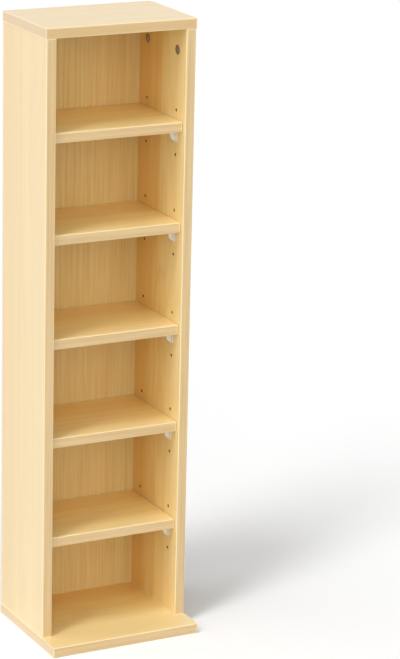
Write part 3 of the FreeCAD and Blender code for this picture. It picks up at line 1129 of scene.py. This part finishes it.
@dataclass
class Fixings:
    """Base screws, back nails and dowels."""

    screw_head: float = 3.8 * MM
    screw_head_height: float = 2.6 * MM
    screw_shank: float = 1.9 * MM
    screw_point: float = 5.0 * MM
    screw_tip: float = 0.08
    screw_sides: int = 40
    recess_width: float = 0.9 * MM
    recess_span: float = 4.4 * MM
    recess_depth: float = 1.5 * MM
    recess_taper: float = 0.55
    nail_head: float = 1.5 * MM
    nail_head_height: float = 1.0 * MM
    nail_rounding: float = 0.18 * MM
    nail_sides: int = 24
    nail_shank: float = 0.7 * MM
    nail_point: float = 1.6 * MM
    nail_tip: float = 0.1
    screw_finish: Mottled = ZINC_PLATE
    nail_finish: Mottled = NAIL_WIRE
    dowel_finish: Mottled = BARE_BEECH

    def screw_form(self, length: float) -> Piece:
        """Model a countersunk wood screw, head down, with a cross recess.

        Args:
            length: Length over all.

        Returns:
            The screw, the middle of its head's face at the origin.
        """
        head_end = (0, 0, self.screw_head_height)
        start, sides = (0, 0, 0), self.screw_sides
        screw = Bench.bar("screw", self.screw_head, start, head_end, sides, self.screw_shank)
        with Bench.editing(screw):
            Bench.select(Pick.FACES, lambda middle, normal: normal.z > SQUARE_ON)
            Bench.extrude((0, 0, length - self.screw_head_height - self.screw_point))
            Bench.extrude((0, 0, self.screw_point))
            tip = (self.screw_tip, self.screw_tip, 1)
            bpy.ops.transform.resize(value=tip, center_override=(0, 0, length))
        cross = (self.recess_width, self.recess_span)
        for wide, deep in (cross, cross[::-1]):
            low, high = (-wide / 2, -deep / 2, -MM), (wide / 2, deep / 2, self.recess_depth)
            slot = Bench.block("slot", low, high)
            with Bench.editing(slot):
                Bench.select(Pick.FACES, lambda middle, normal: normal.z > SQUARE_ON)
                taper = (self.recess_taper, self.recess_taper, 1)
                bpy.ops.transform.resize(value=taper, center_override=(0, 0, 0))
            Bench.combine(screw, slot, "DIFFERENCE")
        Bench.tidy(screw)
        return screw

    def nail_form(self, length: float) -> Piece:
        """Model a panel nail that points to -Y, with a softened head and a cut point.

        Args:
            length: Length over all.

        Returns:
            The nail, the middle of its head's face at the origin.
        """
        head_end = (0, -self.nail_head_height, 0)
        start, sides = (0, 0, 0), self.nail_sides
        nail = Bench.bar("nail", self.nail_head, start, head_end, sides, self.nail_shank)
        with Bench.editing(nail):
            Bench.select(Pick.FACES, lambda middle, normal: normal.y < -SQUARE_ON)
            Bench.extrude((0, self.nail_head_height + self.nail_point - length, 0))
            Bench.extrude((0, -self.nail_point, 0))
            tip = (self.nail_tip, 1, self.nail_tip)
            bpy.ops.transform.resize(value=tip, center_override=(0, -length, 0))
        with Bench.editing(nail, Pick.EDGES):
            Bench.select(Pick.EDGES, lambda a, b: min(a.y, b.y) > -WELD)
            bpy.ops.mesh.bevel(offset=self.nail_rounding, segments=Bench.STEPS, affect="EDGES")
        Bench.tidy(nail)
        return nail

    @staticmethod
    def spread(form: Piece, places: Sequence[Vector], name: str) -> Piece:
        """Copy a form to its places and join the copies, which stand for one CAD node.

        Args:
            form: The form, which is used up.
            places: Where its origin goes.
            name: Name of the joined piece.

        Returns:
            The joined piece.
        """
        copies = [Bench.copy(form, f"{name}_copy", False, place) for place in places]
        bpy.data.objects.remove(form)
        Bench.take(copies[0])
        for piece in copies[1:]:
            piece.select_set(True)
        bpy.ops.object.join()
        joined = bpy.context.object
        joined.name = name
        joined.data.name = name
        return joined

    def fit(self, piece: Piece, node: str, finish: Material) -> None:
        """Hand a joined piece over to the carcass in place of its CAD node.

        Args:
            piece: The joined piece.
            node: The CAD node that it stands for.
            finish: Its material.
        """
        piece.data.materials.clear()
        piece.data.materials.append(finish)
        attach(piece, "carcass")
        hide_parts(node)
        LOG.info("built %s", piece.name)

    def build(self) -> None:
        """Build the screws and nails and dress the dowels."""
        boxes = Bench.solid_boxes("base_screws")
        form = self.screw_form(boxes[0][1].z - boxes[0][0].z)
        places = [Vector(((a.x + b.x) / 2, (a.y + b.y) / 2, a.z)) for a, b in boxes]
        screws = self.spread(form, places, "base_screws_countersunk")
        self.fit(screws, "base_screws", self.screw_finish.material("zinc_screw"))

        boxes = Bench.solid_boxes("back_nails")
        form = self.nail_form(boxes[0][1].y - boxes[0][0].y)
        places = [Vector(((a.x + b.x) / 2, b.y, (a.z + b.z) / 2)) for a, b in boxes]
        nails = self.spread(form, places, "back_nails_headed")
        self.fit(nails, "back_nails", self.nail_finish.material("nail_wire"))

        beech = self.dowel_finish.material("bare_beech")
        for hand in HANDS:
            Bench.dress(f"dowel_{hand}", beech)


# The studio


@dataclass(frozen=True)
class Lamp:
    """One soft lamp, with its angles in degrees and its heading from +X towards +Y."""

    name: str
    power: float
    softness: float
    heading: float
    height: float


@dataclass
class Studio:
    """A pale floor, plain soft light and the camera at the photograph's viewing angle."""

    camera_place: Triple = (-1.82231, -3.79879, 1.73291)
    yaw: float = math.radians(27.6075)
    pitch: float = math.radians(16.1906)
    roll: float = math.radians(1.3144)
    image_size: tuple[int, int] = (400, 659)
    focal_pixels: float = 2873.30
    centre_pixel: tuple[float, float] = (197.386, 313.385)
    sensor: float = 36.0
    sight: float = 200.0
    floor_size: float = 60.0
    floor_drop: float = 0.3 * MM
    floor_lit: Colour = (0.80, 0.80, 0.80)
    floor_seen: Colour = (0.99, 0.99, 0.99)
    white: Colour = (1.0, 1.0, 1.0)
    daylight: float = 0.225
    lamp_distance: float = 4.0
    lamps: tuple[Lamp, ...] = (
        Lamp("strip_low", 0.26, 12.0, 26.6, 40.0),
        Lamp("strip_middle", 0.36, 12.0, 26.6, 55.0),
        Lamp("strip_high", 0.56, 12.0, 26.6, 67.0),
        Lamp("left_screen", 1.86, 90.0, 0.0, 15.0),
        Lamp("front_screen", 1.47, 60.0, 80.0, 18.0),
        Lamp("overhead_screen", 0.49, 70.0, 60.0, 70.0),
    )

    def place_camera(self) -> None:
        """Set the camera up as the photograph was taken."""
        flat = math.cos(self.pitch)
        ahead = Vector(
            (math.sin(self.yaw) * flat, math.cos(self.yaw) * flat, -math.sin(self.pitch))
        )
        level = Vector((math.cos(self.yaw), -math.sin(self.yaw), 0.0))
        above = level.cross(ahead)
        side = level * math.cos(self.roll) + above * math.sin(self.roll)
        up = above * math.cos(self.roll) - level * math.sin(self.roll)
        turn = Matrix((side, up, -ahead)).transposed()
        long_side = max(self.image_size)
        data = bpy.data.cameras.new("camera")
        data.sensor_width = self.sensor
        data.lens = self.focal_pixels * self.sensor / long_side
        data.shift_x = (self.image_size[0] / 2 - self.centre_pixel[0]) / long_side
        data.shift_y = (self.centre_pixel[1] - self.image_size[1] / 2) / long_side
        data.clip_end = self.sight
        camera = bpy.data.objects.new("camera", data)
        camera.matrix_world = Matrix.Translation(self.camera_place) @ turn.to_4x4()
        bpy.context.scene.collection.objects.link(camera)
        bpy.context.scene.camera = camera

    def lay_floor(self) -> None:
        """Lay the pale floor, which keeps the tower's shadow and can't be seen from below."""
        place = (0, 0, -self.floor_drop)
        bpy.ops.mesh.primitive_plane_add(size=self.floor_size, location=place)
        floor = bpy.context.object
        floor.name = "floor"
        material = bpy.data.materials.new("pale_floor")
        material.use_nodes = True
        paint = Wiring(material.node_tree)
        seen = paint.add("LightPath").outputs["Is Camera Ray"]
        tint = paint.mixed(Blend.RGBA, seen, self.floor_lit, self.floor_seen)
        paler = paint.add("BsdfDiffuse", tint).outputs[0]
        clear = paint.add("BsdfTransparent").outputs[0]
        below = paint.add("NewGeometry").outputs["Backfacing"]
        shown = paint.add("MixShader", below, paler, clear)
        paint.add("OutputMaterial", Surface=shown.outputs[0])
        floor.data.materials.append(material)

    def fill_with_daylight(self) -> None:
        """Surround the tower with even daylight, which looks white."""
        world = bpy.data.worlds.new("studio")
        bpy.context.scene.world = world
        world.use_nodes = True
        sky = Wiring(world.node_tree)
        rays = sky.add("LightPath").outputs
        bright = rays["Is Camera Ray"]
        for other in ("Is Glossy Ray", "Is Transmission Ray"):
            bright = sky.sums("MAXIMUM", bright, rays[other])
        air, white = (
            sky.add("Background", Color=self.white, Strength=strength).outputs[0]
            for strength in (self.daylight, 1.0)
        )
        sky.add("OutputWorld", Surface=sky.add("MixShader", bright, air, white).outputs[0])

    def hang_lamp(self, lamp: Lamp) -> None:
        """Hang one soft lamp, which lights the tower and floor evenly from its direction.

        Args:
            lamp: The lamp's power, softness and direction.
        """
        turn, rise = math.radians(lamp.heading), math.radians(lamp.height)
        flat = math.cos(rise)
        back = Vector((-math.cos(turn) * flat, -math.sin(turn) * flat, math.sin(rise)))
        data = bpy.data.lights.new(lamp.name, "SUN")
        data.energy = lamp.power
        data.angle = math.radians(lamp.softness)
        hung = bpy.data.objects.new(lamp.name, data)
        hung.location = back * self.lamp_distance
        hung.rotation_mode = "QUATERNION"
        hung.rotation_quaternion = back.to_track_quat("Z", "Y")
        bpy.context.scene.collection.objects.link(hung)

    def build(self) -> None:
        """Set up the floor, the light and the camera."""
        self.lay_floor()
        self.fill_with_daylight()
        for lamp in self.lamps:
            self.hang_lamp(lamp)
        self.place_camera()
        bpy.context.scene.view_settings.view_transform = "Standard"
        LOG.info("studio ready")


def main() -> None:
    """Build the tower's looks in order."""
    logging.basicConfig(level=logging.INFO, format="%(name)s: %(message)s")
    Boards().dress()
    ShelfSupports().build()
    CamLocks().build()
    Fixings().build()
    Studio().build()


if __name__ == "__main__":
    main()
